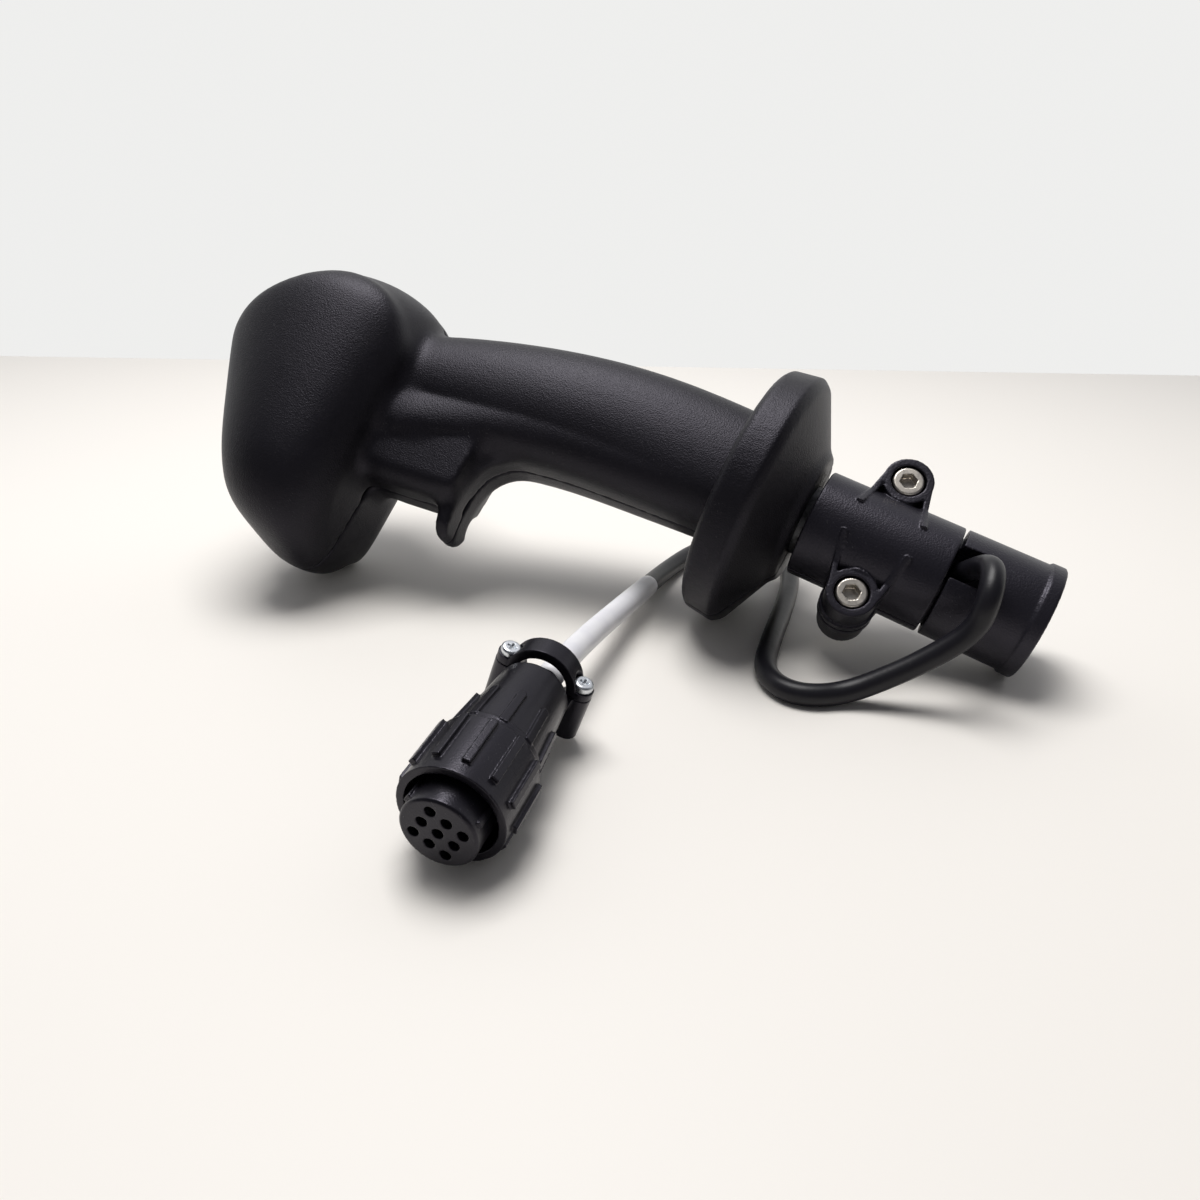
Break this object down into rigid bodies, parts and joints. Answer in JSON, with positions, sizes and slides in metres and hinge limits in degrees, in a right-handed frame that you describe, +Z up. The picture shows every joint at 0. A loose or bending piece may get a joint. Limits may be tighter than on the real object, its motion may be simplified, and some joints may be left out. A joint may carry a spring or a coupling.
{
  "type": "industrial joystick",
  "caption": "Moulded multi-function control handle with hand rest, hand stop, tilted button panel, split clamp collar, and a free lead to a round multi-way plug; it fits on a lever.",
  "frame": {"origin": "on the surface that the handle lies on, under the middle of the handle's own box, without lead and plug", "axes": "+Z up from the surface, +X along the lever axis as seen from above, from the head to the open lever end"},
  "size_m": [0.2968, 0.2225, 0.1082],
  "materials": {
    "grip_plastic": "fine moulded texture",
    "clamp_plastic": "moulded, glass filled",
    "panel_plastic": "satin",
    "button_cap": "satin",
    "wheel_plastic": "satin",
    "seal_rubber": "matt",
    "tube_alloy": "drawn",
    "screw_steel": "plated",
    "screw_zinc": "zinc plated",
    "cable_jacket": "satin jacket",
    "label_white": "satin film",
    "plug_plastic": "satin",
    "contact_metal": "plated",
    "board": "laminate"
  },
  "bodies": {
    "handle": {"backshell": "plug_plastic", "base_tube": "clamp_plastic", "button_housings": "panel_plastic", "button_nuts": "clamp_plastic", "cable": "cable_jacket", "cable_clamp": "plug_plastic", "circuit_board": "board", "clamp_screws": "screw_zinc", "collar_far": "clamp_plastic", "collar_near": "clamp_plastic", "collar_nuts": "screw_steel", "collar_screws": "screw_steel", "core_tube": "tube_alloy", "face_plate": "panel_plastic", "face_screws": "screw_steel", "face_seal": "seal_rubber", "grip_shell_far": "grip_plastic", "grip_shell_near": "grip_plastic", "inner_cable": "cable_jacket", "label_sleeve": "label_white", "plug_body": "plug_plastic", "plug_contacts": "contact_metal", "shell_screws": "screw_steel", "wheel_axle": "screw_steel", "wheel_bracket": "panel_plastic"},
    "thumb_wheel": {"thumb_wheel": "wheel_plastic"},
    "coupling_ring": {"coupling_ring": "plug_plastic"},
    "push_button_1": {"push_button_1": "button_cap"},
    "push_button_2": {"push_button_2": "button_cap"},
    "push_button_3": {"push_button_3": "button_cap"},
    "push_button_4": {"push_button_4": "button_cap"}
  },
  "joints": [
    {"name": "push_button_1_travel", "type": "slide", "parent": "handle", "child": "push_button_1", "axis": [0.9336, 0.3346, 0.1285], "range_m": [0, 0.002], "stiffness_N_per_m": 1000, "springref_m": -0.0015},
    {"name": "push_button_2_travel", "type": "slide", "parent": "handle", "child": "push_button_2", "axis": [0.9336, 0.3346, 0.1285], "range_m": [0, 0.002], "stiffness_N_per_m": 1000, "springref_m": -0.0015},
    {"name": "push_button_3_travel", "type": "slide", "parent": "handle", "child": "push_button_3", "axis": [0.9336, 0.3346, 0.1285], "range_m": [0, 0.002], "stiffness_N_per_m": 1000, "springref_m": -0.0015},
    {"name": "push_button_4_travel", "type": "slide", "parent": "handle", "child": "push_button_4", "axis": [0.9336, 0.3346, 0.1285], "range_m": [0, 0.002], "stiffness_N_per_m": 1000, "springref_m": -0.0015},
    {"name": "thumb_wheel_turn", "type": "hinge", "parent": "handle", "child": "thumb_wheel", "pos_m": [-0.1223, -0.0292, 0.03813], "axis": [0.1775, -0.7431, 0.6451], "range_deg": [-30, 30], "stiffness_Nm_per_rad": 0.03},
    {"name": "coupling_ring_turn", "type": "hinge", "parent": "handle", "child": "coupling_ring", "pos_m": [0.02965, -0.12956, 0.01518], "axis": [-0.1213, 0.9881, 0.0941], "range_deg": [0, 90]}
  ]
}
